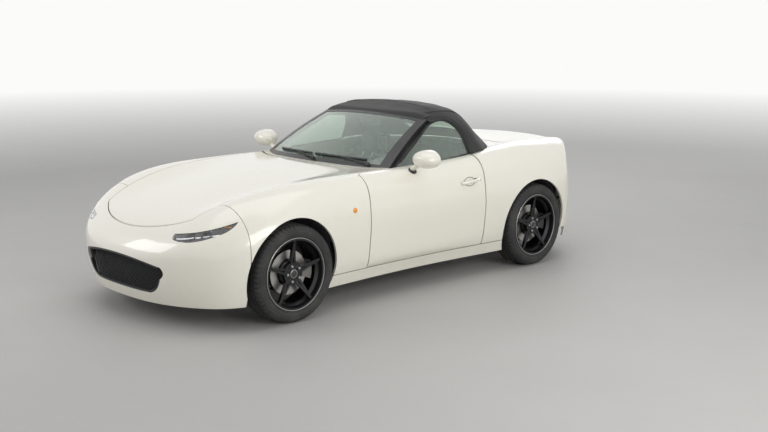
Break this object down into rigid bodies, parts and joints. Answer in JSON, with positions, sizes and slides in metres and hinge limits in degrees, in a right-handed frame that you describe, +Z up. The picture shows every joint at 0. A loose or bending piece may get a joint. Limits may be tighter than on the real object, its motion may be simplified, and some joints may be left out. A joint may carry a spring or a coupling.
{
  "type": "roadster convertible",
  "caption": "Small open two-seat car with a fabric folding top shown closed, long bonnet, short tail and working doors, lids, wheels and steering.",
  "frame": {"origin": "on the ground under the middle of the car's overall box", "axes": "X across with the car's left side at +X, Y along the car with the nose at -Y, Z up"},
  "size_m": [1.9308, 3.9127, 1.23],
  "materials": {
    "body_paint": "gloss pearl white",
    "underbody": "satin",
    "black_plastic": "grained",
    "lamp_cover": "clear",
    "lamp_dark": "gloss",
    "tail_red": "clear red",
    "frame_black": "satin black",
    "glass": "green tint",
    "top_fabric": "woven",
    "steel": "machined",
    "chassis_black": "satin",
    "cast_alloy": "as cast",
    "exhaust_steel": "brushed",
    "trim_black": "soft grain",
    "seat_cloth": "woven",
    "trim_leather": "fine grain",
    "knuckle_iron": "cast",
    "tyre": "matt",
    "rim_dark": "dark satin"
  },
  "bodies": {
    "body": {"tub": "underbody", "front_wings": "body_paint", "rear_quarters": "body_paint", "sills": "body_paint", "front_bumper": "body_paint", "rear_bumper": "body_paint", "grille": "black_plastic", "headlamps": "lamp_cover", "lamp_units": "lamp_dark", "tail_lamps": "tail_red", "rear_deck": "body_paint", "cowl": "body_paint", "windscreen_frame": "frame_black", "windscreen": "glass", "soft_top": "top_fabric", "rear_window": "glass", "door_hinges": "steel", "bonnet_hinges": "steel", "boot_hinges": "steel", "front_suspension": "chassis_black", "rear_suspension": "chassis_black", "engine": "cast_alloy", "driveline": "cast_alloy", "exhaust": "exhaust_steel", "dashboard": "trim_black", "seats": "seat_cloth", "centre_console": "trim_black", "roll_hoops": "frame_black", "wipers": "black_plastic"},
    "bonnet": {"bonnet": "body_paint"},
    "boot_lid": {"boot_lid": "body_paint"},
    "steering_wheel": {"steering_wheel": "trim_leather"},
    "door_left": {"door_left": "body_paint", "door_glass_left": "glass", "mirror_left": "body_paint"},
    "knuckle_left": {"knuckle_left": "knuckle_iron"},
    "wheel_front_left": {"tyre_front_left": "tyre", "rim_front_left": "rim_dark"},
    "wheel_rear_left": {"tyre_rear_left": "tyre", "rim_rear_left": "rim_dark", "half_shaft_left": "steel"},
    "door_right": {"door_right": "body_paint", "door_glass_right": "glass", "mirror_right": "body_paint"},
    "knuckle_right": {"knuckle_right": "knuckle_iron"},
    "wheel_front_right": {"tyre_front_right": "tyre", "rim_front_right": "rim_dark"},
    "wheel_rear_right": {"tyre_rear_right": "tyre", "rim_rear_right": "rim_dark", "half_shaft_right": "steel"}
  },
  "joints": [
    {"name": "steer_left", "type": "hinge", "parent": "body", "child": "knuckle_left", "pos_m": [0.6815, -1.1975, 0.308], "axis": [-0.1908, 0, 0.9816], "range_deg": [-34, 34]},
    {"name": "steer_right", "type": "hinge", "parent": "body", "child": "knuckle_right", "pos_m": [-0.6815, -1.1975, 0.308], "axis": [0.1908, 0, 0.9816], "range_deg": [-34, 34]},
    {"name": "front_wheel_left", "type": "hinge", "parent": "knuckle_left", "child": "wheel_front_left", "pos_m": [0.7475, -1.1975, 0.308], "axis": [1, 0, 0], "continuous": true},
    {"name": "front_wheel_right", "type": "hinge", "parent": "knuckle_right", "child": "wheel_front_right", "pos_m": [-0.7475, -1.1975, 0.308], "axis": [1, 0, 0], "continuous": true},
    {"name": "rear_wheel_left", "type": "hinge", "parent": "body", "child": "wheel_rear_left", "pos_m": [0.7525, 1.1125, 0.308], "axis": [1, 0, 0], "continuous": true},
    {"name": "rear_wheel_right", "type": "hinge", "parent": "body", "child": "wheel_rear_right", "pos_m": [-0.7525, 1.1125, 0.308], "axis": [1, 0, 0], "continuous": true},
    {"name": "steering_column", "type": "hinge", "parent": "body", "child": "steering_wheel", "pos_m": [0.378, 0.0205, 0.735], "axis": [0, 0.9135, 0.4067], "range_deg": [-442, 442]},
    {"name": "door_left", "type": "hinge", "parent": "body", "child": "door_left", "pos_m": [0.79934, -0.4525, 0.54], "axis": [0, 0, -1], "range_deg": [0, 60]},
    {"name": "door_right", "type": "hinge", "parent": "body", "child": "door_right", "pos_m": [-0.79934, -0.4525, 0.54], "axis": [0, 0, 1], "range_deg": [0, 60]},
    {"name": "bonnet", "type": "hinge", "parent": "body", "child": "bonnet", "pos_m": [0, -0.36406, 0.83147], "axis": [-1, 0, 0], "range_deg": [0, 48]},
    {"name": "boot_lid", "type": "hinge", "parent": "body", "child": "boot_lid", "pos_m": [0, 1.1905, 0.87777], "axis": [1, 0, 0], "range_deg": [0, 70]}
  ],
  "couplings": [
    {"joint": "steer_right", "follows": "steer_left", "ratio": 1},
    {"joint": "steering_column", "follows": "steer_left", "ratio": 13}
  ]
}
